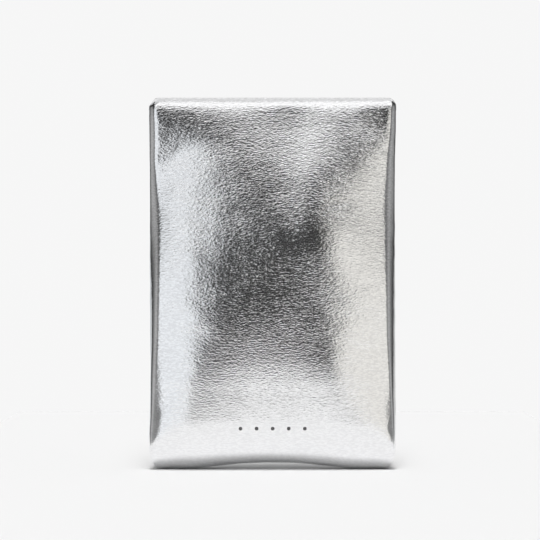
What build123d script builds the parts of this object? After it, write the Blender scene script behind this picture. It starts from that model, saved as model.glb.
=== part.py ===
"""Soft eyeglasses pouch with a squeeze-open spring mouth, modelled closed and standing on its bottom edge.

Millimetres. +Z runs from the bottom seam to the mouth, -Y is the front, and the origin is on the
surface that the pouch stands on, under its middle.

Two padded sides, each a leather panel, a foam layer and a microfibre lining, are sewn together round the
sides and bottom over a leather welt. A channel along each lip of the mouth holds a spring steel leaf,
and the leaves' curled ends turn on a pin at each end of the mouth. A leaf bows as the mouth opens, so
each is made here as two straight halves that meet in the middle and turn about the pins.
"""

import math
import os

from build123d import *

# Driving dimensions.
HEIGHT = 168.0
LEATHER = 1.1
FOAM = 1.8
LINING = 0.6
LAYER_GAP = 0.1
SEAM_HALF_GAP = 0.5
FAR = 200.0

# Outer shape: height, half width and half depth of each level section.
STATIONS = [
    (0.0, 51.4, 6.6),
    (2.0, 54.0, 8.8),
    (6.0, 55.5, 10.8),
    (15.0, 55.8, 12.4),
    (40.0, 55.4, 14.0),
    (75.0, 55.3, 14.4),
    (105.0, 55.3, 13.2),
    (130.0, 55.6, 10.6),
    (150.0, 56.0, 7.2),
    (160.0, 56.2, 4.9),
    (164.5, 55.9, 4.0),
    (HEIGHT, 53.2, 2.8),
]
SHOULDER = 0.74
CORNER = 1.3
CROWN_REACH = 0.7
CORNER_PULL = 0.55
THINNEST_HALF_DEPTH = 1.0

# The bottom edge rises between the two lower corners.
ARCH_RISE = 2.7
ARCH_HALF_SPAN = 40.0

# Spring frame in the mouth.
PIN_X = 51.0
PIN_RADIUS = 0.75
PIN_HEAD_RADIUS = 1.3
PIN_HEAD = 0.5
PIN_END_PLAY = 0.2
KNUCKLE_BORE = 0.83
KNUCKLE_RADIUS = 1.45
KNUCKLE_GAP = 0.3
MIDDLE_KNUCKLE = 4.0
LEAF = 0.5
LEAF_LOW = 154.5
LEAF_HIGH = 165.5
LEAF_END = 1.6
HALVES_GAP = 0.6

# Facing that lines each lip and closes the leaf's channel.
MOUTH_HALF_GAP = 0.3
FACING = 0.55
FACING_HALF_WIDTH = 49.2
FACING_TOP = 167.2
FACING_BEND = 151.0
FACING_LOW = 146.0
FACING_FLARE = 1.5
ROOF_GAP = 0.05
LINING_TOP = 151.0
FOAM_TOP = 150.0

# Welt and sewing.
WELT_HALF = 0.35
WELT_WIDTH = 3.6
WELT_INSET = 0.3
WELT_TOP = 146.0
THREAD_RADIUS = 0.2
THREAD_PLAY = 0.03
SEAM_PITCH = 4.2
SEAM_INSET = 2.1
FACING_THREAD_RADIUS = 0.1
FACING_THREAD_GAP = 0.02
FACING_STITCH = 2.4
FACING_STITCH_PITCH = 3.5
FACING_STITCH_Z = 152.6


def section(z, half_width, half_depth):
    """Front half of one level section: round corners, a shallow crown, and the seam plane behind."""
    corner_depth = SHOULDER * half_depth
    corner_width = CORNER * corner_depth
    corner_x = half_width - corner_width
    reach = CROWN_REACH * corner_x
    lift = (half_depth - corner_depth) / 0.75
    pull_x = corner_x + CORNER_PULL * corner_width
    pull_y = -corner_depth + CORNER_PULL * corner_width * lift / reach
    side_y = -CORNER_PULL * corner_depth
    right_end, left_end = (half_width, 0, z), (-half_width, 0, z)
    right_top, left_top = (corner_x, -corner_depth, z), (-corner_x, -corner_depth, z)
    right = Bezier(right_end, (half_width, side_y, z), (pull_x, pull_y, z), right_top)
    crown_y = -corner_depth - lift
    crown = Bezier(right_top, (corner_x - reach, crown_y, z), (reach - corner_x, crown_y, z), left_top)
    left = Bezier(left_top, (-pull_x, pull_y, z), (-half_width, side_y, z), left_end)
    return make_face([right, crown, left, Line(left_end, right_end)])


def arch(lift):
    """What the raised bottom edge leaves out, for a layer whose bottom is lifted by that much."""
    left, right = (-ARCH_HALF_SPAN, 0, lift), (ARCH_HALF_SPAN, 0, lift)
    rise = ThreePointArc(left, (0, 0, lift + ARCH_RISE), right)
    below = Polyline(right, (ARCH_HALF_SPAN, 0, -1), (-ARCH_HALF_SPAN, 0, -1), left)
    return extrude(make_face([rise, below]), amount=FAR / 2, dir=(0, 1, 0), both=True)


def half_body(inset):
    """Front half of the pouch as a full solid, shrunk by that much at the sides, front, bottom and top."""
    faces = []
    for z, half_width, half_depth in STATIONS:
        if half_depth > inset + THINNEST_HALF_DEPTH:
            level = z + inset * (1 - 2 * z / HEIGHT)
            faces.append(section(level, half_width - inset, half_depth - inset))
    return loft(faces) - arch(inset)


def slab(low, high, front=-FAR, back=FAR):
    """Everything between two heights, and between a front and a back plane."""
    box = Box(2 * FAR, back - front, high - low, align=(Align.CENTER, Align.MIN, Align.MIN))
    return Pos(0, front, low) * box


def layer(outer_inset, inner_inset, top):
    """One layer of the front side, from its outer to its inner face, up to a height."""
    shell = half_body(outer_inset) - half_body(inner_inset)
    return shell & slab(-5, top, back=-SEAM_HALF_GAP)


def panel():
    """Leather panel, whose top edge turns in over the leaf's channel as far as the facing."""
    slot = Box(
        2 * (FACING_HALF_WIDTH + LAYER_GAP),
        2 * (MOUTH_HALF_GAP + FACING + ROOF_GAP),
        2 * LEATHER + 1,
    )
    return layer(0, LEATHER, HEIGHT + 5) - Pos(0, 0, HEIGHT) * slot


def foam():
    """Foam that pads the leather, ending under the leaf's channel."""
    outer = LEATHER + LAYER_GAP
    return layer(outer, outer + FOAM, FOAM_TOP)


def lining():
    """Microfibre lining, ending under the facing."""
    outer = LEATHER + FOAM + 2 * LAYER_GAP
    return layer(outer, outer + LINING, LINING_TOP)


def facing():
    """Right half of the strip inside the lip: upright behind the leaf, then flared over the lining's edge."""
    near, far = -MOUTH_HALF_GAP, -MOUTH_HALF_GAP - FACING
    x = HALVES_GAP / 2
    outline = Polyline(
        (x, near, FACING_TOP),
        (x, near, FACING_BEND),
        (x, near - FACING_FLARE, FACING_LOW),
        (x, far - FACING_FLARE, FACING_LOW),
        (x, far, FACING_BEND),
        (x, far, FACING_TOP),
        close=True,
    )
    return extrude(make_face(outline), amount=FACING_HALF_WIDTH - x, dir=(1, 0, 0))


def facing_thread():
    """Sewing along the foot of the channel on the facing's right half, one solid for each stitch."""
    stitch = Rot(0, 90, 0) * Cylinder(FACING_THREAD_RADIUS, FACING_STITCH)
    y = -MOUTH_HALF_GAP + FACING_THREAD_GAP + FACING_THREAD_RADIUS
    count = int((FACING_HALF_WIDTH - FACING_STITCH_PITCH) / FACING_STITCH_PITCH)
    places = [(i + 0.7) * FACING_STITCH_PITCH for i in range(count)]
    return Compound([Pos(x, y, FACING_STITCH_Z) * stitch for x in places])


def strip(low, high, end_x):
    """Flat right half of a leaf between two heights, from the middle of the mouth out to an end."""
    start_x = HALVES_GAP / 2
    box = Box(end_x - start_x, LEAF, high - low, align=(Align.MIN, Align.MIN, Align.MIN))
    return Pos(start_x, -KNUCKLE_RADIUS, low) * box


def leaf(knuckles):
    """Right half of a leaf, with knuckles curled at its end, given as pairs of low and high ends."""
    half = strip(LEAF_LOW, LEAF_HIGH, PIN_X - LEAF_END)
    for low, high in knuckles:
        half += strip(low, high, PIN_X)
        half += Pos(PIN_X, 0, (low + high) / 2) * Cylinder(KNUCKLE_RADIUS, high - low)
    bore = Pos(PIN_X, 0, (LEAF_LOW + LEAF_HIGH) / 2) * Cylinder(KNUCKLE_BORE, HEIGHT)
    return half - bore


def knuckle_rows():
    """Heights of the front leaf's two outer knuckles, and of the back leaf's middle one."""
    middle = (LEAF_LOW + LEAF_HIGH) / 2
    half = MIDDLE_KNUCKLE / 2
    lower = (LEAF_LOW, middle - half - KNUCKLE_GAP)
    upper = (middle + half + KNUCKLE_GAP, LEAF_HIGH)
    return [lower, upper], [(middle - half, middle + half)]


def pin():
    """Right hinge pin, with a flat head at each end, through the knuckles of both leaves."""
    half_length = (LEAF_HIGH - LEAF_LOW) / 2 + PIN_END_PLAY
    body = Cylinder(PIN_RADIUS, 2 * half_length)
    for side in (-1, 1):
        body += Pos(0, 0, side * (half_length + PIN_HEAD / 2)) * Cylinder(PIN_HEAD_RADIUS, PIN_HEAD)
    return Pos(PIN_X, 0, (LEAF_LOW + LEAF_HIGH) / 2) * body


def outline(inset):
    """The pouch's outline on the seam plane, shrunk by that much, as a face."""
    right = []
    for z, half_width, _ in STATIONS:
        right.append((half_width - inset, 0, z + inset * (1 - 2 * z / HEIGHT)))
    left = [(-x, y, z) for x, y, z in right]
    ends = [Line(right[0], left[0]), Line(right[-1], left[-1])]
    return make_face([Spline(*right), Spline(*left)] + ends) - arch(inset)


def seam_places():
    """Evenly spaced points along the seam's sewing, from one top end round the bottom to the other."""
    top = WELT_TOP - SEAM_PITCH / 2
    below = outline(SEAM_INSET) & slab(-5, top)
    path = Wire([edge for edge in below.edges() if edge.center().Z < top - LAYER_GAP])
    count = int(path.length / SEAM_PITCH)
    return [path.position_at((i + 0.5) / count) for i in range(count)]


def crosswise(radius, length, places):
    """Cylinders through the seam plane, one at each place."""
    upright = Rot(90, 0, 0) * Cylinder(radius, length)
    return [Pos(place.X, 0, place.Z) * upright for place in places]


def welt(places):
    """Leather strip between the two sides, round the side and bottom seams, pierced for its sewing."""
    outer = extrude(outline(WELT_INSET), amount=WELT_HALF, dir=(0, 1, 0), both=True)
    inner = extrude(outline(WELT_INSET + WELT_WIDTH), amount=1, dir=(0, 1, 0), both=True)
    ring = (outer - inner) & slab(-5, WELT_TOP)
    return ring - crosswise(THREAD_RADIUS + THREAD_PLAY, 2, places)


def seam_thread(places):
    """Sewing through the welt, one solid for each stitch."""
    return Compound(crosswise(THREAD_RADIUS, 2 * WELT_HALF, places))


def to_back(shape):
    """The same piece on the back side."""
    return mirror(shape, about=Plane.XZ)


def to_left(shape):
    """The same piece on the left side."""
    return mirror(shape, about=Plane.YZ)


def build():
    """Every node's name and shape."""
    places = seam_places()
    nodes = {"seam_welt": welt(places), "seam_thread": seam_thread(places)}
    for name, shape in {"panel": panel(), "padding": foam(), "lining": lining()}.items():
        nodes["front_" + name] = shape
        nodes["back_" + name] = to_back(shape)
    outer_knuckles, middle_knuckle = knuckle_rows()
    right_halves = {
        "front_leaf": leaf(outer_knuckles),
        "back_leaf": to_back(leaf(middle_knuckle)),
        "front_facing": facing(),
        "back_facing": to_back(facing()),
        "front_facing_thread": facing_thread(),
        "back_facing_thread": to_back(facing_thread()),
        "hinge_pin": pin(),
    }
    for name, shape in right_halves.items():
        nodes[name + "_right"] = shape
        nodes[name + "_left"] = to_left(shape)
    return nodes


if __name__ == "__main__":
    os.makedirs("parts", exist_ok=True)
    for name, shape in build().items():
        export_step(shape, f"parts/{name}.step")
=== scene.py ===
"""Looks of the soft eyeglasses pouch: metallic pebble-grained leather over foam, with a spring mouth.

Shapes are worked out in millimetres in the frame's own axes (+Z up, -Y the front) and stored in metres.
Each padded side is one rounded surface. Its layers follow it from inside and are held within the outline at
the seams.
"""

import math

import bpy
import numpy as np
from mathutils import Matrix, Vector, noise

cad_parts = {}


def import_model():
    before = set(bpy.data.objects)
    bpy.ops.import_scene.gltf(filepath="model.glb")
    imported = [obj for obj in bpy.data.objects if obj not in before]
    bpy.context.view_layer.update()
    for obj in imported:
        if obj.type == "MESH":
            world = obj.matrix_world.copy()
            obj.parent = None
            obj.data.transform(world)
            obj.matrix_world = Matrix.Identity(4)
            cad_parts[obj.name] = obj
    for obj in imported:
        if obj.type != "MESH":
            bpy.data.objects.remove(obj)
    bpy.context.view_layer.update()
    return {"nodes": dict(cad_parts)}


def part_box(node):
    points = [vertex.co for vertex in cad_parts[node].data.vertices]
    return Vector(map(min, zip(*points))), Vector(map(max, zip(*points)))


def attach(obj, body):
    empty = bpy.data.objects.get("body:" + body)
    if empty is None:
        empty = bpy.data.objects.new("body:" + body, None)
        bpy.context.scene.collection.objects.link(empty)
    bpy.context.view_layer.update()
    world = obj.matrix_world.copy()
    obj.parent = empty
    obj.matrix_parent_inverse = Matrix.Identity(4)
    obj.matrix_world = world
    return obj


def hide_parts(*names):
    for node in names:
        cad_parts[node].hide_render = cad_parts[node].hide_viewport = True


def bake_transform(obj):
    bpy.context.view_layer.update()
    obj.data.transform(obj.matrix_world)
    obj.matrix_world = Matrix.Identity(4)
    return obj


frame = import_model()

MM = 0.001



def box_corners(node):
    """Low and high corners of a CAD node's box, in millimetres."""
    return [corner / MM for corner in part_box(node)]


# Sizes read from the frame, in millimetres.
leaf_low, leaf_high = box_corners("front_leaf_right")
pin_low, pin_high = box_corners("hinge_pin_right")
stitch_low, stitch_high = box_corners("front_facing_thread_right")
HEIGHT = box_corners("front_panel")[1].z
PIN_X = (pin_low.x + pin_high.x) / 2
LEAF_LOW, LEAF_HIGH = leaf_low.z, leaf_high.z
STITCH_Z = (stitch_low.z + stitch_high.z) / 2
MOUTH_GAP = -box_corners("front_facing_right")[1].y

# Thicknesses of the layers, in millimetres.
LEATHER = 1.1
TURNED_LEATHER = 0.6
FOAM = 1.8
LINING = 0.6
LAYER_GAP = 0.1
FACING = 0.55
LEAF = 0.5

SIDES = {"front": -1, "back": 1}


# ---------------------------------------------------------------- shape of one side

def smoothstep(low, high, value):
    t = np.clip((value - low) / (high - low), 0, 1)
    return t * t * (3 - 2 * t)


def through(points, count):
    """A smooth path through the points, sampled evenly along its length."""
    p = np.array(points, float)
    p = np.vstack([2 * p[0] - p[1], p, 2 * p[-1] - p[-2]])
    pieces = []
    t = np.linspace(0, 1, 24, endpoint=False)[:, None]
    for a, b, c, d in zip(p[:-3], p[1:-2], p[2:-1], p[3:]):
        cubic = 2 * b + (c - a) * t + (2 * a - 5 * b + 4 * c - d) * t**2 + (3 * b - a - 3 * c + d) * t**3
        pieces.append(cubic / 2)
    path = np.vstack(pieces + [p[-2:-1]])
    walked = np.concatenate([[0], np.cumsum(np.linalg.norm(np.diff(path[:, :2], axis=0), axis=1))])
    at = np.linspace(0, walked[-1], count)
    return np.column_stack([np.interp(at, walked, path[:, k]) for k in range(path.shape[1])])


# Middle of the side from the bottom seam, under the foot, up the front and over the lip into the mouth:
# height, depth from the seam plane, and the part of that depth that doesn't thin towards the sides.
PROFILE = [
    (0.7, 0.0, 0.0),
    (0.2, 1.5, 0.2),
    (0.5, 3.2, 0.4),
    (2.0, 5.8, 0.7),
    (4.8, 8.8, 1.1),
    (8.6, 11.0, 1.3),
    (13.0, 12.2, 1.5),
    (19.5, 12.9, 1.6),
    (26.5, 13.2, 1.7),
    (34.0, 13.5, 1.8),
    (42.0, 13.9, 1.9),
    (51.0, 14.15, 2.0),
    (67.0, 14.15, 2.0),
    (83.0, 13.6, 2.0),
    (105.0, 12.4, 2.2),
    (130.0, 10.3, 2.6),
    (147.0, 7.7, 3.0),
    (157.0, 5.9, 3.2),
    (163.0, 4.6, 3.2),
    (166.0, 3.5, 2.9),
    (167.5, 2.2, 2.1),
    (168.0, 1.3, 1.3),
    (167.5, 0.5, 0.5),
    (166.6, 0.25, 0.25),
    (164.0, 0.25, 0.25),
]
ROWS = 230
COLUMNS = 150
FIRST_TURNED_ROW = 215

# Columns stand closer together towards the side seams: share of the easing by sine, and power of the packing.
COLUMN_EASE = 0.5
COLUMN_PACKING = 1.25

# How much of the depth is lost towards the sides: height, share lost in a broad crown, share lost at the
# shoulders.
CROWN = [(0, 0.10, 0.0), (20, 0.15, 0.27), (50, 0.40, 0.10), (85, 0.36, 0.14), (120, 0.50, 0.30),
         (150, 0.45, 0.25), (168, 0.25, 0.0)]
BROAD_POWER = 2
SHOULDER_POWER = 8

# Width of the rounding at the side seams: height, width.
SIDE_ROLL = [(0, 2.2), (16, 2.0), (34, 3.4), (60, 5.4), (90, 6.0), (120, 6.0), (150, 5.6), (168, 5.2)]
ROLL_POWER = 1.85

# How near the flat and the rounded depth come to each other before one eases into the other.
BLEND = 0.8

# Inside the mouth, the turned-in edge rises to this height between these distances from the middle.
FOLD_TOP = 166.6
FOLD_END_X = (47.5, 49.5)

# Outline: half width at each height, for the left and the right side.
OUTLINE_LEFT = [(0, 51.2), (1.4, 53.6), (4.8, 55.4), (12, 55.8), (40, 55.4), (80, 55.7), (130, 55.9),
                (152, 56.1), (163.6, 56.1), (165.0, 55.4), (168, 53.0)]
OUTLINE_RIGHT = [(0, 51.2), (1.4, 53.6), (4.8, 55.4), (12, 55.9), (40, 55.7), (85, 55.6), (130, 55.6),
                 (152, 56.0), (163.4, 56.1), (165.6, 55.7), (167.2, 54.6), (168, 53.2)]

# The bottom edge rises between the lower corners, and the rise fades with height.
ARCH_RISE = 2.7
ARCH_HALF_SPAN = 36.0
ARCH_POWER = 1.3
ARCH_FADE = 16.0

# Shallow dents (minus) and swells (plus) of the stuffed leather: x, z, spread along x, along z, height.
SWELLS = [
    (-35, 23, 23, 40, 1.3),
    (-48, 141, 17, 15, -1.3),
    (-29, 129, 32, 26, -1.3),
    (19, 118, 9, 32, 1.3),
    (30, 107, 9, 21, 1.15),
    (10, 107, 15, 19, 0.9),
    (10, 148, 16, 35, -0.85),
    (26, 40, 14, 21, 0.8),
    (24, 120, 9, 15, -0.3),
    (48, 158, 9, 9, -0.6),
    (-48, 43, 20, 13, 0.5),
    (-40, 62, 29, 15, 0.35),
]


def arch_lift(x):
    """How far the bottom edge is raised."""
    return ARCH_RISE * np.clip(1 - (x / ARCH_HALF_SPAN) ** 2, 0, 1) ** ARCH_POWER


def half_width(z, x_sign):
    """Half width of the outline at a height, on the left where x_sign is -1 and the right where it is 1."""
    table = np.array(OUTLINE_LEFT if x_sign < 0 else OUTLINE_RIGHT)
    fine = through(table[:, [0, 1]], 400)
    return np.interp(z, fine[:, 0], fine[:, 1])


def surface(rows=ROWS, columns=COLUMNS):
    """Outer surface of the front side, as a grid of points: rows from the bottom seam to inside the lip."""
    path = through(PROFILE, rows)
    z, depth, even = path[:, 0:1], path[:, 1:2], path[:, 2:3]
    turn = np.linspace(-1, 1, columns)
    across = np.sin(turn * math.pi / 2) * COLUMN_EASE + turn * (1 - COLUMN_EASE)
    across = np.sign(across) * (1 - (1 - np.abs(across)) ** COLUMN_PACKING)
    outline_z = np.maximum.accumulate(z[:, 0])
    left, right = half_width(outline_z, -1)[:, None], half_width(outline_z, 1)[:, None]
    width = np.where(across[None, :] < 0, left, right)
    x = across[None, :] * width
    loss = through(CROWN, 400)
    broad, shoulder = (np.interp(z, loss[:, 0], loss[:, k]) for k in (1, 2))
    crown = 1 - broad * across**BROAD_POWER - shoulder * across**SHOULDER_POWER
    flat = even + (depth - even) * crown
    roll = np.interp(outline_z, *zip(*SIDE_ROLL))[:, None]
    from_edge = np.clip((width - np.abs(x)) / roll, 0, 1)
    rounded = (flat + BLEND) * (1 - (1 - from_edge) ** ROLL_POWER) ** (1 / ROLL_POWER)
    near = np.clip(BLEND - np.abs(flat - rounded), 0, BLEND)
    y = -np.clip(np.minimum(flat, rounded) - near**2 / (4 * BLEND), 0, None)
    z = np.broadcast_to(z, x.shape).copy()
    inside = (np.arange(rows)[:, None] > np.argmax(path[:, 0])) & (z < FOLD_TOP)
    end = smoothstep(FOLD_END_X[0], FOLD_END_X[1], np.abs(x))
    z = np.where(inside, z + (FOLD_TOP - z) * end, z)
    z += arch_lift(x) * np.exp(-np.clip(z, 0, None) / ARCH_FADE)
    return np.stack([x, y, z], axis=-1)


# Where the rows of a grid run together, at each bottom corner of the seam.
CORNER_X = 52.3
CORNER_REACH = 2.2


def normals(grid):
    """Outward unit normals of a front-side grid, set straight at the bottom corners."""
    down, along = np.gradient(grid, axis=0), np.gradient(grid, axis=1)
    n = np.cross(along, down)
    n /= np.maximum(np.linalg.norm(n, axis=-1, keepdims=True), 1e-9)
    x, z = grid[..., 0], grid[..., 2]
    corner = np.exp(-(((np.abs(x) - CORNER_X) / CORNER_REACH) ** 2) - (z / CORNER_REACH) ** 2)[..., None]
    outward = np.stack([np.sign(x), np.zeros(x.shape), np.full(x.shape, -1.0)], axis=-1) / math.sqrt(2)
    n += np.clip(2 * corner, 0, 1) * (outward - n)
    return n / np.maximum(np.linalg.norm(n, axis=-1, keepdims=True), 1e-9)


def swell(grid, share):
    """The grid pushed in and out along its normals by the swells and by a faint unevenness."""
    n = normals(grid)
    x, y, z = grid[..., 0], grid[..., 1], grid[..., 2]
    out = np.zeros(x.shape)
    for at_x, at_z, spread_x, spread_z, height in SWELLS:
        out += height * np.exp(-(((x - at_x) / spread_x) ** 2) - ((z - at_z) / spread_z) ** 2)
    free = smoothstep(2.0, 7.0, -y) * smoothstep(0, 12, z) * smoothstep(168, 160, z)
    return grid + n * (share * out * free)[..., None]


# Groove where the two sides meet, and height, reach from the seam and frequency of the puckers beside it.
GROOVE_DEPTH = 0.7
GROOVE_WIDTH = 0.6
PUCKER = 0.15
PUCKER_REACH = 3.5
PUCKER_FREQUENCY = 0.15
PUCKER_TOP = 160


def sewn(grid, side):
    """The grid with its seam drawn in and faint puckers beside it."""
    n = normals(grid)
    x, y, z = grid[..., 0], grid[..., 1], grid[..., 2]
    at_seam = np.maximum(smoothstep(163.5, 161.5, z), smoothstep(51.0, 54.0, np.abs(x)))
    at_seam[FIRST_TURNED_ROW:] = 0
    groove = GROOVE_DEPTH * np.exp(-((y / GROOVE_WIDTH) ** 2)) * at_seam
    puckers = np.zeros(x.shape)
    near = np.exp(-((y / PUCKER_REACH) ** 2)) * smoothstep(0.3, 1.5, -y) * (z < PUCKER_TOP)
    for i, j in zip(*np.nonzero(near > 0.02)):
        place = Vector((x[i, j] * PUCKER_FREQUENCY, side * 9.0, z[i, j] * PUCKER_FREQUENCY))
        puckers[i, j] = noise.noise(place)
    return grid + n * (PUCKER * puckers * near - groove)[..., None]


# ---------------------------------------------------------------- baking placements into meshes


def bend(piece):
    """The piece with its placement baked into its mesh; its points are read but not moved."""
    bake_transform(piece)
    count = len(piece.data.vertices)
    co = np.empty(count * 3)
    piece.data.vertices.foreach_get("co", co)
    return piece


# ---------------------------------------------------------------- meshes

def mesh_piece(name, points, faces, material, smooth=True):
    """A mesh object from points in millimetres."""
    mesh = bpy.data.meshes.new(name)
    mesh.from_pydata((np.asarray(points) * MM).tolist(), [], faces)
    mesh.validate()
    mesh.update()
    mesh.polygons.foreach_set("use_smooth", [smooth] * len(mesh.polygons))
    mesh.materials.append(material)
    piece = bpy.data.objects.new(name, mesh)
    bpy.context.scene.collection.objects.link(piece)
    return piece


def to_side(grid, side):
    """A front-side grid on the named side."""
    return grid * np.array([1, -SIDES[side], 1])


def shell(name, outer, inner, side, material):
    """A closed sheet of leather, foam or cloth between two front-side grids of the same size."""
    rows, columns = outer.shape[:2]
    outer, inner = to_side(outer, side), to_side(inner, side)
    points = np.vstack([outer.reshape(-1, 3), inner.reshape(-1, 3)])
    index = np.arange(rows * columns).reshape(rows, columns)
    second = index + rows * columns
    faces = []

    def quads(a, b, c, d):
        faces.extend(np.stack([a.ravel(), b.ravel(), c.ravel(), d.ravel()], axis=1).tolist())

    quads(index[:-1, :-1], index[:-1, 1:], index[1:, 1:], index[1:, :-1])
    quads(second[:-1, :-1], second[1:, :-1], second[1:, 1:], second[:-1, 1:])
    quads(index[0, :-1], second[0, :-1], second[0, 1:], index[0, 1:])
    quads(index[-1, :-1], index[-1, 1:], second[-1, 1:], second[-1, :-1])
    quads(index[:-1, 0], index[1:, 0], second[1:, 0], second[:-1, 0])
    quads(index[:-1, -1], second[:-1, -1], second[1:, -1], index[1:, -1])
    if SIDES[side] > 0:
        faces = [f[::-1] for f in faces]
    return mesh_piece(name, points, faces, material)


def ring_faces(first, rings, around):
    """Four-sided faces between each ring of points and the next."""
    faces = []
    for i in range(rings - 1):
        low, high = first + i * around, first + (i + 1) * around
        for j in range(around):
            k = (j + 1) % around
            faces.append((low + j, low + k, high + k, high + j))
    return faces


# ---------------------------------------------------------------- materials

def put(tree, socket, value):
    """Links an output to a node's input, or sets the input to a plain value."""
    if isinstance(value, bpy.types.NodeSocket):
        tree.links.new(value, socket)
    else:
        socket.default_value = value


class Nodes:
    """A small helper that builds a material's node tree."""

    def __init__(self, name):
        self.material = bpy.data.materials.new(name)
        self.material.use_nodes = True
        self.tree = self.material.node_tree
        self.shader = self.tree.nodes["Principled BSDF"]

    def add(self, kind, inputs=(), **settings):
        node = self.tree.nodes.new(kind)
        for key, value in settings.items():
            setattr(node, key, value)
        for key, value in dict(inputs).items():
            put(self.tree, node.inputs[key], value)
        return node

    def math(self, operation, a, b=0.0, c=0.0, clamp=False):
        node = self.add("ShaderNodeMath", {0: a, 1: b, 2: c}, operation=operation, use_clamp=clamp)
        return node.outputs[0]

    def ramp(self, value, stops):
        """Colours or greys at places from 0 to 1."""
        node = self.add("ShaderNodeValToRGB", {"Fac": value})
        elements = node.color_ramp.elements
        while len(elements) < len(stops):
            elements.new(0.5)
        for element, (place, colour) in zip(elements, stops):
            element.position = place
            element.color = (*colour, 1) if hasattr(colour, "__len__") else (colour, colour, colour, 1)
        return node.outputs["Color"]

    def set(self, **values):
        """Sets the shader's inputs."""
        for key, value in values.items():
            put(self.tree, self.shader.inputs[key.replace("_", " ")], value)


def grain(n, cell, depth, wrinkle):
    """Pebble grain: rounded cells of that size, a little wider than high, with soft wrinkles between them.

    Sizes are in millimetres. Gives how far up a cell each point is, from 0 to 1, and the bumped normal."""
    place = n.add("ShaderNodeTexCoord").outputs["Object"]
    mapped = n.add("ShaderNodeMapping", {"Vector": place, "Scale": (0.52, 1.0, 1.4)}).outputs[0]
    bent = n.add("ShaderNodeTexNoise", {"Vector": mapped, "Scale": 0.7 / (cell * MM), "Detail": 0.0})
    shift = n.add("ShaderNodeVectorMath", {0: bent.outputs["Color"], 1: (0.5, 0.5, 0.5)},
                  operation="SUBTRACT")
    scaled = n.add("ShaderNodeVectorMath", {0: shift.outputs[0], "Scale": cell * MM * 1.3}, operation="SCALE")
    moved = n.add("ShaderNodeVectorMath", {0: mapped, 1: scaled.outputs[0]}, operation="ADD").outputs[0]
    cells = n.add("ShaderNodeTexVoronoi", {"Vector": moved, "Scale": 1 / (cell * MM), "Smoothness": 0.35},
                  feature="SMOOTH_F1").outputs["Distance"]
    domes = n.math("SUBTRACT", 1.0, cells, clamp=True)
    folds = n.add("ShaderNodeTexNoise", {"Vector": mapped, "Scale": 1.9 / (cell * MM), "Detail": 1.0,
                                         "Roughness": 0.4, "Distortion": 0.0}).outputs["Fac"]
    patches = n.add("ShaderNodeTexNoise", {"Vector": place, "Scale": 0.1 / (cell * MM),
                                           "Detail": 2.0}).outputs["Fac"]
    height = n.math("MULTIPLY_ADD", folds, wrinkle, domes)
    strength = n.add("ShaderNodeMapRange", {"Value": patches, "From Min": 0.35, "From Max": 0.65,
                                            "To Min": 0.7, "To Max": 1.0}).outputs[0]
    apart = n.add("ShaderNodeSeparateXYZ", {0: place})
    across = n.math("ABSOLUTE", apart.outputs["X"])
    taut = n.add("ShaderNodeMapRange", {"Value": apart.outputs["Z"], "From Min": 0.020, "From Max": 0.075,
                                        "To Min": 0.35, "To Max": 1.0}).outputs[0]
    strength = n.math("MULTIPLY", strength, taut)
    flat = n.add("ShaderNodeMapRange", {"Value": across, "From Min": 0.0500, "From Max": 0.0550,
                                        "To Min": 1.0, "To Max": 0.4}).outputs[0]
    strength = n.math("MULTIPLY", strength, flat)
    bump = n.add("ShaderNodeBump", {"Height": height, "Strength": strength, "Distance": depth * MM})
    return domes, bump.outputs["Normal"]


def metallic_leather(name, cell=0.95, depth=0.068, bright=0.97, rough=0.12):
    n = Nodes(name)
    domes, normal = grain(n, cell, depth, 1.1)
    # The base colour is painted a little darker in the creases between the grain's cells: painted shade
    # there. The roughness also rises there.
    base = n.ramp(domes, [(0.3, (bright * 0.90, bright * 0.90, bright * 0.91)),
                          (0.8, (bright, bright * 1.002, bright * 1.01))])
    gloss = n.ramp(domes, [(0.3, rough + 0.05), (0.8, rough)])
    n.set(Base_Color=base, Metallic=1.0, Roughness=gloss, Normal=normal)
    return n.material


def microfibre(name, colour):
    n = Nodes(name)
    place = n.add("ShaderNodeTexCoord").outputs["Object"]
    fibres = n.add("ShaderNodeTexNoise", {"Vector": place, "Scale": 2200.0, "Detail": 4.0}).outputs["Fac"]
    nap = n.add("ShaderNodeTexNoise", {"Vector": place, "Scale": 90.0, "Detail": 3.0}).outputs["Fac"]
    tone = n.math("ADD", n.math("MULTIPLY", fibres, 0.5), n.math("MULTIPLY", nap, 0.5))
    base = n.ramp(tone, [(0.3, [c * 0.75 for c in colour]), (0.7, [c * 1.2 for c in colour])])
    bump = n.add("ShaderNodeBump", {"Height": fibres, "Strength": 0.6, "Distance": 0.1 * MM})
    n.set(Base_Color=base, Roughness=0.95, Sheen_Weight=0.35, Sheen_Roughness=0.5,
          Normal=bump.outputs["Normal"])
    return n.material


def foam(name):
    n = Nodes(name)
    place = n.add("ShaderNodeTexCoord").outputs["Object"]
    pores = n.add("ShaderNodeTexVoronoi", {"Vector": place, "Scale": 1800.0}).outputs["Distance"]
    # The foam is painted darker towards the bottoms of its pores: painted shade in the pits that the bump
    # also shapes.
    base = n.ramp(pores, [(0.1, (0.42, 0.40, 0.35)), (0.6, (0.80, 0.78, 0.72))])
    bump = n.add("ShaderNodeBump", {"Height": pores, "Strength": 0.8, "Distance": 0.2 * MM})
    n.set(Base_Color=base, Roughness=0.95, Normal=bump.outputs["Normal"])
    return n.material


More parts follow.
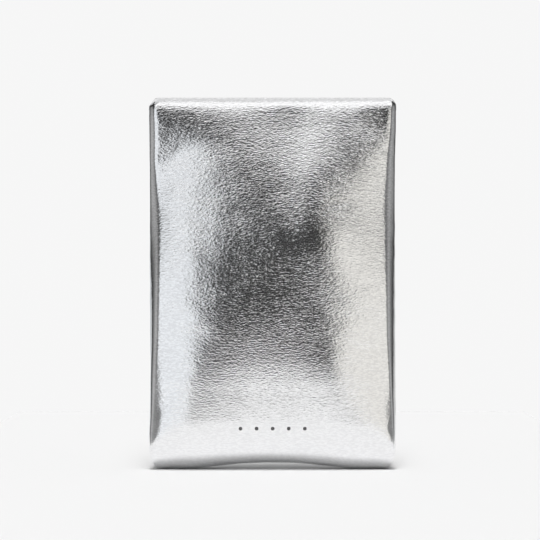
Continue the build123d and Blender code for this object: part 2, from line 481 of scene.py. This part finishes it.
def steel(name, rough, along):
    """Bright steel with fine marks that run along an axis, 0 for X and 2 for Z."""
    n = Nodes(name)
    place = n.add("ShaderNodeTexCoord").outputs["Object"]
    stretch = [9000.0, 9000.0, 9000.0]
    stretch[along] = 250.0
    mapped = n.add("ShaderNodeMapping", {"Vector": place, "Scale": stretch}).outputs[0]
    marks = n.add("ShaderNodeTexNoise", {"Vector": mapped, "Scale": 1.0, "Detail": 3.0}).outputs["Fac"]
    base = n.ramp(marks, [(0.3, (0.50, 0.50, 0.51)), (0.7, (0.66, 0.66, 0.67))])
    gloss = n.ramp(marks, [(0.3, rough - 0.06), (0.7, rough + 0.08)])
    bump = n.add("ShaderNodeBump", {"Height": marks, "Strength": 0.25, "Distance": 0.01 * MM})
    n.set(Base_Color=base, Metallic=1.0, Roughness=gloss, Normal=bump.outputs["Normal"])
    return n.material


def thread_material(name):
    n = Nodes(name)
    place = n.add("ShaderNodeTexCoord").outputs["Object"]
    turned = n.add("ShaderNodeMapping", {"Vector": place, "Rotation": (0.0, 0.6, 0.0)}).outputs[0]
    twist = n.add("ShaderNodeTexWave", {"Vector": turned, "Scale": 900.0, "Distortion": 1.0}).outputs["Fac"]
    # The thread is painted darker in the grooves of its twist: painted shade between the plies, which the
    # bump also shapes.
    base = n.ramp(twist, [(0.0, (0.34, 0.345, 0.35)), (1.0, (0.62, 0.625, 0.64))])
    bump = n.add("ShaderNodeBump", {"Height": twist, "Strength": 0.6, "Distance": 0.04 * MM})
    n.set(Base_Color=base, Roughness=0.55, Sheen_Weight=0.2, Normal=bump.outputs["Normal"])
    return n.material


# ---------------------------------------------------------------- stage, lights and camera

FLOOR_TONE = 0.80
BACKDROP = 0.925
SKY = BACKDROP / FLOOR_TONE
ROOM = 0.035
FLOOR = ((-0.16, -0.6), (0.16, 0.4))
BOUNCE = 0.05

# Elevation and share of the table's light of each wide sun in front of and above the pouch.
SUNS = ((52, 0.10), (68, 0.22), (82, 0.30))
SUN_ANGLE = 16

# Soft glows of the room that only the leather mirrors: azimuth, elevation, inner and outer reach, strength.
GLOWS = ((-84, -26, 8, 56, 0.44), (84, -24, 8, 56, 0.38))

CAMERA_AWAY = 1.0
CAMERA_LEFT = 0.0012
CAMERA_HIGH = 0.090
CAMERA_LENS = 147.0


def stage():
    """Pale table top, a little wider than the view and reaching far in front of the pouch."""
    n = Nodes("floor_paint")
    n.set(Base_Color=(FLOOR_TONE, FLOOR_TONE, FLOOR_TONE, 1), Roughness=1.0, Specular_IOR_Level=0.0)
    (left, front), (right, back) = FLOOR
    corners = [(x / MM, y / MM, 0) for x, y in ((left, front), (right, front), (right, back), (left, back))]
    floor = mesh_piece("floor", corners, [(0, 1, 2, 3)], n.material, smooth=False)


def softbox(name, azimuth, elevation, distance, width, height, radiance, colour):
    """An area light aimed at the pouch's middle."""
    light = bpy.data.lights.new(name, "AREA")
    light.shape = "RECTANGLE"
    light.size, light.size_y = width, height
    light.energy = radiance * math.pi * width * height
    light.color = colour
    lamp = bpy.data.objects.new(name, light)
    bpy.context.scene.collection.objects.link(lamp)
    way = toward(azimuth, elevation)
    lamp.location = Vector((0, 0, HEIGHT * MM / 2)) + way * distance
    lamp.rotation_mode = "QUATERNION"
    lamp.rotation_quaternion = way.to_track_quat("Z", "Y")
    lamp.visible_camera = False
    lamp.visible_diffuse = False


def world():
    """Pale backdrop for the camera, an even sky over the floor, and a dim room for the leather to reflect."""
    sky = bpy.data.worlds.new("studio")
    bpy.context.scene.world = sky
    sky.use_nodes = True
    tree = sky.node_tree
    tree.nodes.clear()
    rays = tree.nodes.new("ShaderNodeLightPath")
    place = tree.nodes.new("ShaderNodeTexCoord").outputs["Generated"]
    room = None
    for azimuth, elevation, inner, outer, strength in GLOWS:
        dot = tree.nodes.new("ShaderNodeVectorMath")
        dot.operation = "DOT_PRODUCT"
        dot.inputs[1].default_value = toward(azimuth, elevation)
        tree.links.new(place, dot.inputs[0])
        glow = tree.nodes.new("ShaderNodeMapRange")
        glow.interpolation_type = "SMOOTHSTEP"
        glow.inputs["From Min"].default_value = math.cos(math.radians(outer))
        glow.inputs["From Max"].default_value = math.cos(math.radians(inner))
        glow.inputs["To Max"].default_value = strength
        tree.links.new(dot.outputs["Value"], glow.inputs["Value"])
        total = tree.nodes.new("ShaderNodeMath")
        total.inputs[1].default_value = ROOM
        tree.links.new(glow.outputs[0], total.inputs[0])
        if room:
            tree.links.new(room, total.inputs[1])
        room = total.outputs[0]
    shader = None
    sky_share = 1 - sum(share for _, share in SUNS)
    # The last kind of ray that matches decides, and the first entry is for all the others.
    for strength, ray in ((room, None), (SKY * BOUNCE, "Diffuse Depth"), (SKY * sky_share, "Is Diffuse Ray"),
                          (BACKDROP, "Is Camera Ray")):
        even = tree.nodes.new("ShaderNodeBackground")
        even.inputs["Color"].default_value = (1, 1, 1, 1)
        put(tree, even.inputs["Strength"], strength)
        if ray:
            mix = tree.nodes.new("ShaderNodeMixShader")
            tree.links.new(rays.outputs[ray], mix.inputs[0])
            tree.links.new(shader, mix.inputs[1])
            tree.links.new(even.outputs[0], mix.inputs[2])
            shader = mix.outputs[0]
        else:
            shader = even.outputs[0]
    tree.links.new(shader, tree.nodes.new("ShaderNodeOutputWorld").inputs["Surface"])


def camera():
    cam = bpy.data.cameras.new("camera")
    cam.lens = CAMERA_LENS
    cam.sensor_width = 36.0
    cam.clip_start, cam.clip_end = 0.01, 1000.0
    holder = bpy.data.objects.new("camera", cam)
    holder.location = (-CAMERA_LEFT, -CAMERA_AWAY, CAMERA_HIGH)
    holder.rotation_euler = (math.pi / 2, 0, 0)
    bpy.context.scene.collection.objects.link(holder)
    bpy.context.scene.camera = holder


COOL, WARM, WHITE = (0.94, 0.97, 1.0), (1.0, 0.98, 0.93), (1.0, 1.0, 1.0)

# Azimuth, elevation, distance, width, height, brightness and colour of each soft light.
LIGHTS = {
    "left_front": (-29.5, -2.4, 0.8, 0.42, 0.73, 0.86, COOL),
    "right_front": (30.5, -5, 0.8, 0.42, 0.65, 0.78, WARM),
    "top_front": (14, 46.5, 0.8, 1.25, 0.54, 1.04, WHITE),
    "overhead": (0, 92, 0.8, 1.25, 0.80, 0.72, WHITE),
    "left_rear": (-155, -2, 0.8, 0.44, 0.65, 0.60, COOL),
    "right_rear": (155, -2, 0.8, 0.44, 0.65, 0.55, WHITE),
    "top_rear": (180, 46, 0.8, 1.25, 0.54, 0.80, WHITE),
}


def toward(azimuth, elevation):
    """Unit direction. Azimuth 0 is the camera's side and 90 the right."""
    a, e = math.radians(azimuth), math.radians(elevation)
    return Vector((math.sin(a) * math.cos(e), -math.cos(a) * math.cos(e), math.sin(e)))


def table_sun(elevation, share):
    """Wide soft light on the table and the cloth, which the metallic leather doesn't mirror."""
    light = bpy.data.lights.new("table_sun", "SUN")
    light.angle = math.radians(SUN_ANGLE)
    light.energy = math.pi * SKY * share / math.sin(math.radians(elevation))
    lamp = bpy.data.objects.new("table_sun", light)
    bpy.context.scene.collection.objects.link(lamp)
    lamp.rotation_mode = "QUATERNION"
    lamp.rotation_quaternion = toward(0, elevation).to_track_quat("Z", "Y")
    lamp.visible_glossy = False


def lights():
    for elevation, share in SUNS:
        table_sun(elevation, share)
    for name, settings in LIGHTS.items():
        softbox(name, *settings)


# ---------------------------------------------------------------- the pouch

leather = metallic_leather("silver_leather")
trim_leather = metallic_leather("fine_silver_leather", cell=0.8, depth=0.03, rough=0.3)
lining_cloth = microfibre("grey_microfibre", (0.16, 0.165, 0.175))
foam_pores = foam("foam_pores")
leaf_steel = steel("spring_steel", 0.28, 0)
pin_steel = steel("pin_steel", 0.32, 2)
polyester = thread_material("polyester_thread")

# How far each layer reaches: up to a height, and to where the side is this far from the seam plane.
FOAM_TOP = 150.0
LINING_TOP = 151.0
FOAM_SEAM_GAP = 2.6
LINING_SEAM_GAP = 1.0

# The foam's edge is skived to this share of its thickness, over a reach that counts each grid step as this
# much.
SKIVED = 0.35
SKIVE_REACH = 7
SKIVE_STEP = 0.9

# The leather thins where it is turned in, between these shares of its rows.
THINNING = (0.93, 0.98)

# How far inside the outline the leather's inner face is held, and how high above its inset each layer's
# bottom corners are cut off at 45 degrees.
PANEL_INSET = 0.6
CORNER_CUT = 4.5

# Least distance from the seam plane of the foam, and of the lining's outer and inner face.
FOAM_CLEAR = 0.4
LINING_CLEAR = (0.15, 0.1)

# The lining hangs loose by up to this much, in soft waves of these frequencies across and up.
SLACK = 0.35
SLACK_FREQUENCY = (0.07, 0.05)


def lip_row(top):
    """The last row below a height on the outside of the side."""
    path = through(PROFILE, ROWS)
    up = path[: np.argmax(path[:, 0]), 0]
    return int(np.flatnonzero(up < top)[-1])


def kept_inside(grid, inset, gap):
    """The grid held inside the outline shrunk by the inset, and on its own side of the seam plane."""
    x, y, z = grid[..., 0], grid[..., 1], grid[..., 2]
    z = np.maximum(z, arch_lift(x) + inset)
    corner = np.clip(inset + CORNER_CUT - z, 0, CORNER_CUT)
    left = -half_width(z, -1) + inset + corner
    right = half_width(z, 1) - inset - corner
    return np.stack([np.clip(x, left, right), np.minimum(y, -gap), z], axis=-1)


def leather_panel(side, base, n):
    """Outer leather of one side, turned in over the lip."""
    rows = base.shape[0]
    start, end = (share * rows for share in THINNING)
    thick = LEATHER + (TURNED_LEATHER - LEATHER) * smoothstep(start, end, np.arange(rows))
    outer = sewn(base, SIDES[side])
    inner = kept_inside(outer - n * thick[:, None, None], PANEL_INSET, 0.0)
    panel = shell(side + "_panel_leather", outer, inner, side, leather)
    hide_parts(side + "_panel")
    bend(panel)


def foam_pad(side, base, n):
    """Foam that thins out towards the seams and ends below the spring's channel."""
    middle = base.shape[1] // 2
    low = int(np.flatnonzero(base[:, middle, 1] < -FOAM_SEAM_GAP)[0])
    top = lip_row(FOAM_TOP)
    level = base[base.shape[0] // 2, :, 1]
    inside = np.flatnonzero(level < -FOAM_SEAM_GAP)
    part = (slice(low, top), slice(int(inside[0]), int(inside[-1]) + 1))
    outer, way = base[part], n[part]
    rows, columns = outer.shape[:2]
    from_edge = np.minimum.outer(
        np.minimum(np.arange(rows), rows - 1 - np.arange(rows)) * SKIVE_STEP,
        np.minimum(np.arange(columns), columns - 1 - np.arange(columns)) * SKIVE_STEP,
    )
    share = SKIVED + (1 - SKIVED) * smoothstep(0, SKIVE_REACH, from_edge)
    depth = LEATHER + LAYER_GAP
    pad = shell(
        side + "_foam_padding",
        kept_inside(outer - way * depth, depth, FOAM_CLEAR),
        kept_inside(outer - way * (depth + FOAM * share[..., None]), depth + 0.3, FOAM_CLEAR),
        side,
        foam_pores,
    )
    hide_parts(side + "_padding")
    bend(pad)


def lining_sheet(side, base, n):
    """Microfibre lining, sewn in at the seams and ending behind the facing."""
    low = int(np.flatnonzero(base[:, base.shape[1] // 2, 1] < -LINING_SEAM_GAP)[0])
    part = slice(low, lip_row(LINING_TOP))
    outer, way = base[part], n[part]
    depth = LEATHER + FOAM + 2 * LAYER_GAP
    x, z = outer[..., 0], outer[..., 2]
    across, up = SLACK_FREQUENCY
    loose = np.array([[noise.noise(Vector((a * across, SIDES[side] * 4.0, b * up))) for a, b in zip(p, q)]
                      for p, q in zip(x, z)])
    slack = SLACK * np.clip(loose, 0, 1) * smoothstep(0, 5, -outer[..., 1])
    outer_clear, inner_clear = LINING_CLEAR
    sheet = shell(
        side + "_lining_cloth",
        kept_inside(outer - way * (depth + slack[..., None]), depth, outer_clear),
        kept_inside(outer - way * (depth + LINING + slack[..., None]), depth + LINING, inner_clear),
        side,
        lining_cloth,
    )
    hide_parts(side + "_lining")
    bend(sheet)


# Facing strip: half length, top, height where its flare starts, bottom, and how far it flares, in
# millimetres.
FACING_X = 48.9
FACING_TOP = 163.9
FACING_BEND = 151.5
FACING_LOW = 146.0
FACING_FLARE = 1.6


def swept(name, loops, material, smooth=True):
    """A solid through closed loops of points, one after another, with both ends capped."""
    loops = np.asarray(loops, float)
    count, around = loops.shape[:2]
    faces = ring_faces(0, count, around)
    faces.append(tuple(range(around - 1, -1, -1)))
    faces.append(tuple(range((count - 1) * around, count * around)))
    return mesh_piece(name, loops.reshape(-1, 3), faces, material, smooth)


def facing_strip(side):
    """Strip of fine leather inside the lip that closes the spring's channel, upright and then flared."""
    upright, flared = np.linspace(FACING_TOP, FACING_BEND, 12), np.linspace(FACING_BEND, FACING_LOW, 9)
    z = np.concatenate([upright, flared[1:]])
    flare = FACING_FLARE * np.clip((FACING_BEND - z) / (FACING_BEND - FACING_LOW), 0, 1) ** 1.6
    face = np.column_stack([-MOUTH_GAP - flare, z])
    thin = FACING * (1 - 0.35 * np.exp(-((z - STITCH_Z) / 0.5) ** 2))
    thin[[0, -1]] *= 0.55
    back = np.column_stack([-MOUTH_GAP - FACING - flare, z])[::-1]
    face[:, 0] = back[::-1, 0] + thin
    ring = np.vstack([face, back])
    along = np.linspace(-FACING_X, FACING_X, 121)
    loops = [[(x, SIDES[side] * -y, h) for y, h in ring] for x in along]
    strip = swept(side + "_facing_strip", loops, trim_leather)
    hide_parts(side + "_facing_left", side + "_facing_right")
    bend(strip)


STITCH = 2.4
STITCH_PITCH = 3.5
STITCH_REACH = 47.0
STITCH_RADIUS = 0.13

# Rings of one stitch: place along it, share of its radius, and how far it is sunk in.
STITCH_SHAPE = [
    (-0.5, 0.35, 0.12),
    (-0.42, 0.85, 0.0),
    (-0.2, 1.0, -0.02),
    (0.2, 1.0, -0.02),
    (0.42, 0.85, 0.0),
    (0.5, 0.35, 0.12),
]


def stitch_row(side):
    """Sewing along the foot of the channel, as a row of rounded stitches."""
    points, faces = [], []
    around = 8
    count = int(STITCH_REACH / STITCH_PITCH)
    y = -MOUTH_GAP + 0.35 * FACING * 0.5 + STITCH_RADIUS * 0.2
    for place in range(-count, count + 1):
        first = len(points)
        for along, width, sunk in STITCH_SHAPE:
            for j in range(around):
                turn = 2 * math.pi * j / around
                r = STITCH_RADIUS * width
                points.append((place * STITCH_PITCH + along * STITCH,
                               SIDES[side] * -(y - 0.1 - sunk + r * math.cos(turn)),
                               STITCH_Z + r * math.sin(turn)))
        faces += ring_faces(first, len(STITCH_SHAPE), around)
        faces.append(tuple(first + j for j in range(around - 1, -1, -1)))
        faces.append(tuple(first + (len(STITCH_SHAPE) - 1) * around + j for j in range(around)))
    row = mesh_piece(side + "_channel_stitches", points, faces, polyester)
    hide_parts(side + "_facing_thread_left", side + "_facing_thread_right")
    bend(row)


LEAF_X = 49.2
LEAF_Y = -1.2
KNUCKLE_GAP = 0.3
KNUCKLE_HALF = 0.22
CURL_TURN = 305
MIDDLE_KNUCKLE = 4.0


def leaf_strip(side):
    """Flat spring steel leaf with rounded edges, whole from end to end."""
    middle, half = (LEAF_LOW + LEAF_HIGH) / 2, (LEAF_HIGH - LEAF_LOW) / 2
    thick = LEAF / 2
    shoulder = (thick * 0.6, half - 0.1)
    ring = [(-thick, half - thick), (-shoulder[0], shoulder[1]), (0, half), shoulder, (thick, half - thick)]
    ring += [(y, -z) for y, z in reversed(ring)]
    loops = [[(x, SIDES[side] * -(LEAF_Y + y), middle + z) for y, z in ring]
             for x in np.linspace(-LEAF_X, LEAF_X, 101)]
    strip = swept(side + "_spring_leaf", loops, leaf_steel)
    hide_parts(side + "_leaf_left", side + "_leaf_right")
    bend(strip)


def knuckles(side, hand, rows):
    """Curled end of a leaf round its pin, one curl for each pair of low and high ends."""
    x_sign = 1 if hand == "right" else -1
    radius, thick = -LEAF_Y, KNUCKLE_HALF
    line = [(-2.6, -radius), (-1.8, -radius), (-0.9, -radius)]
    turns = np.linspace(0, math.radians(CURL_TURN), 30)
    line = np.array(line + [(radius * math.sin(t), -radius * math.cos(t)) for t in turns])
    ahead = np.gradient(line, axis=0)
    ahead /= np.linalg.norm(ahead, axis=1, keepdims=True)
    across = np.column_stack([-ahead[:, 1], ahead[:, 0]])
    ring = np.vstack([line + across * thick, (line - across * thick)[::-1]])
    points, faces = [], []
    for low, high in rows:
        first = len(points)
        levels = [(low, 0.85), (low + 0.08, 1.0), (high - 0.08, 1.0), (high, 0.85)]
        for z, share in levels:
            centre = np.vstack([line, line[::-1]])
            loop = centre + (ring - centre) * share
            points += [(x_sign * (PIN_X + x), SIDES[side] * -y, z) for x, y in loop]
        around = len(ring)
        faces += ring_faces(first, len(levels), around)
        half = len(line)
        for base, flip in ((first, True), (first + (len(levels) - 1) * around, False)):
            for j in range(half - 1):
                quad = (base + j, base + j + 1, base + around - 2 - j, base + around - 1 - j)
                faces.append(quad[::-1] if flip else quad)
    curl = mesh_piece(f"{side}_{hand}_leaf_knuckles", points, faces, leaf_steel)
    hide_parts(f"{side}_leaf_{hand}")
    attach(curl, f"{side}_{hand}_frame")


def spring_frame():
    """Both leaves and the knuckles at their ends."""
    middle, half = (LEAF_LOW + LEAF_HIGH) / 2, MIDDLE_KNUCKLE / 2
    outer = [(LEAF_LOW, middle - half - KNUCKLE_GAP), (middle + half + KNUCKLE_GAP, LEAF_HIGH)]
    inner = [(middle - half, middle + half)]
    for side, rows in (("front", outer), ("back", inner)):
        leaf_strip(side)
        for hand in ("left", "right"):
            knuckles(side, hand, rows)


WELT_TOP = 146.0
WELT_INSET = 0.42
WELT_WIDTH = 3.4
WELT_HALF = 0.35
WELT_ROUNDING = 0.15
WELT_FOOT_X = 50.5


def seam_welt(base):
    """Leather strip between the two sides, whose edge shows at the bottom of the seam."""
    rise = np.linspace(1.0, WELT_TOP, 150)
    left = np.column_stack([-half_width(rise, -1), rise])[::-1]
    right = np.column_stack([half_width(rise, 1), rise])
    foot = base[0][np.abs(base[0, :, 0]) < WELT_FOOT_X][:, [0, 2]]
    path = np.vstack([left, foot, right])
    for _ in range(3):
        path[1:-1] = (path[:-2] + 2 * path[1:-1] + path[2:]) / 4
    ahead = np.gradient(path, axis=0)
    ahead /= np.maximum(np.linalg.norm(ahead, axis=1, keepdims=True), 1e-9)
    inward = np.column_stack([-ahead[:, 1], ahead[:, 0]])
    inset, deep = WELT_INSET + WELT_ROUNDING, WELT_INSET + WELT_WIDTH
    ring = [(WELT_INSET, WELT_ROUNDING), (inset, WELT_HALF), (deep, WELT_HALF)]
    ring += [(depth, -y) for depth, y in reversed(ring)]
    loops = [[(x + dx * depth, y, z + dz * depth) for depth, y in ring]
             for (x, z), (dx, dz) in zip(path, inward)]
    welt = swept("seam_welt_strip", loops, trim_leather)
    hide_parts("seam_welt")
    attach(welt, "root")


MARK_DOTS = 5
MARK_PITCH = 7.2
MARK_Z = 19.0
MARK_RADIUS = 0.85

# Rings of one dot: share of its radius, and how far it stands proud of the leather.
MARK_RINGS = ((1.0, 0.0), (0.93, 0.10), (0.6, 0.13))

# Rows among which the mark's place on the front is looked up: the first, and the height of the last.
MARK_FIRST_ROW = 8
MARK_ROWS_TOP = 60.0


def front_mark(base):
    """A plain row of small printed dots on the lower front."""
    n = Nodes("grey_foil_print")
    place = n.add("ShaderNodeTexCoord").outputs["Object"]
    worn = n.add("ShaderNodeTexNoise", {"Vector": place, "Scale": 2500.0, "Detail": 2.0}).outputs["Fac"]
    n.set(Base_Color=n.ramp(worn, [(0.35, 0.05), (0.7, 0.16)]), Roughness=0.5, Metallic=0.3)
    heights = base[MARK_FIRST_ROW : lip_row(MARK_ROWS_TOP), base.shape[1] // 2, 2]
    points, faces = [], []
    around = 24
    for dot in range(MARK_DOTS):
        centre = (dot - (MARK_DOTS - 1) / 2) * MARK_PITCH
        first = len(points)
        for share, proud in MARK_RINGS:
            for j in range(around):
                turn = 2 * math.pi * j / around
                x = centre + MARK_RADIUS * share * math.cos(turn)
                z = MARK_Z + MARK_RADIUS * share * math.sin(turn)
                row = int(np.argmin(np.abs(heights - z))) + MARK_FIRST_ROW
                y = float(np.interp(x, base[row, :, 0], base[row, :, 1]))
                points.append((x, y - proud, z))
        faces += ring_faces(first, len(MARK_RINGS), around)
        faces.append(tuple(first + (len(MARK_RINGS) - 1) * around + j for j in range(around)))
    mark = mesh_piece("front_mark_dots", points, faces, n.material)
    bend(mark)


# Cloth simulation of each leather side: the scale it is run at, its frames, its coarse grid of rows and
# columns, its top, the share by which the leather is let out, and the pressure.
SETTLE_SCALE = 10.0
SETTLE_FRAMES = 20
SETTLE_GRID = (48, 40)
SETTLE_TOP = 163.0
SETTLE_GROWTH = 0.03
SETTLE_PRESSURE = 2.0

# What is kept of it: creases finer than about this many grid steps, up to a height of crease, and this share
# of them. They fade out between two heights.
CREASE_WIDTH = 3
CREASE_LIMIT = 0.8
CREASE_SHARE = 0.17
CREASE_FADE = (160, 140)


def cloth_result(start, piece):
    """Where the cloth simulation leaves a grid of points that is sewn down all round and let out a little.

    The piece is the grid's mesh, which is deleted afterwards."""
    rows, columns = start.shape[:2]
    index = np.arange(rows * columns).reshape(rows, columns)
    edge = np.ones((rows, columns), bool)
    edge[1:-1, 1:-1] = False
    piece.vertex_groups.new(name="seams").add(index[edge].tolist(), 1.0, "REPLACE")
    cloth = piece.modifiers.new("settling", "CLOTH")
    cloth.settings.quality = 6
    cloth.settings.vertex_group_mass = "seams"
    cloth.settings.use_pressure = True
    cloth.settings.uniform_pressure_force = SETTLE_PRESSURE
    cloth.settings.shrink_min = -SETTLE_GROWTH
    cloth.settings.effector_weights.gravity = 0
    cloth.point_cache.frame_end = SETTLE_FRAMES
    for step in range(1, SETTLE_FRAMES + 1):
        bpy.context.scene.frame_set(step)
    done = piece.evaluated_get(bpy.context.evaluated_depsgraph_get()).data.vertices
    points = np.empty(len(done) * 3)
    done.foreach_get("co", points)
    bpy.data.objects.remove(piece)
    bpy.context.scene.frame_set(1)
    return points.reshape(start.shape)


def blurred(values, width):
    """The values averaged over their neighbours three times."""
    kernel = np.ones(2 * width + 1) / (2 * width + 1)

    def averaged(line):
        return np.convolve(np.pad(line, width, mode="edge"), kernel, mode="valid")

    for _ in range(3):
        for axis in (0, 1):
            values = np.apply_along_axis(averaged, axis, values)
    return values


def settled(grid):
    """The grid with the creases that a short cloth simulation of the leather gives near its seams.

    Only the creases are kept: the broad shape stays as it was cut."""
    rows = np.linspace(0, lip_row(SETTLE_TOP), SETTLE_GRID[0]).astype(int)
    columns = np.linspace(0, COLUMNS - 1, SETTLE_GRID[1]).astype(int)
    start = grid[np.ix_(rows, columns)]
    index = np.arange(start.shape[0] * start.shape[1]).reshape(start.shape[:2])
    quads = np.stack([index[:-1, :-1], index[:-1, 1:], index[1:, 1:], index[1:, :-1]], axis=-1)
    faces = quads.reshape(-1, 4).tolist()
    piece = mesh_piece("settling", start.reshape(-1, 3) * SETTLE_SCALE, faces, leather)
    end = cloth_result(start, piece) / (MM * SETTLE_SCALE)
    n = normals(grid)
    out = ((end - start) * n[np.ix_(rows, columns)]).sum(axis=-1)
    crease = np.clip(out - blurred(out, CREASE_WIDTH), -CREASE_LIMIT, CREASE_LIMIT) * CREASE_SHARE
    crease[[0, -1]], crease[:, [0, -1]] = 0, 0
    crease *= smoothstep(*CREASE_FADE, start[..., 2])
    wide = np.array([np.interp(np.arange(COLUMNS), columns, line) for line in crease])
    full = np.array([np.interp(np.arange(grid.shape[0]), rows, line, right=0) for line in wide.T]).T
    full = blurred(full, 1)
    return grid + n * full[..., None]


plain = surface()
front_base, back_base = settled(swell(plain, 1.0)), settled(swell(plain, 0.7))
for side in SIDES:
    base = front_base if side == "front" else back_base
    way = normals(base)
    leather_panel(side, base, way)
    foam_pad(side, base, way)
    lining_sheet(side, base, way)
    facing_strip(side)
    stitch_row(side)
spring_frame()
seam_welt(plain)
front_mark(front_base)

# These are shown as their CAD shapes.
CAD_MATERIALS = {"seam_thread": polyester, "hinge_pin_left": pin_steel, "hinge_pin_right": pin_steel}
for name, material in CAD_MATERIALS.items():
    node = frame["nodes"][name]
    node.data.materials.clear()
    node.data.materials.append(material)

stage()
world()
lights()
camera()
bpy.context.scene.view_settings.view_transform = "Standard"
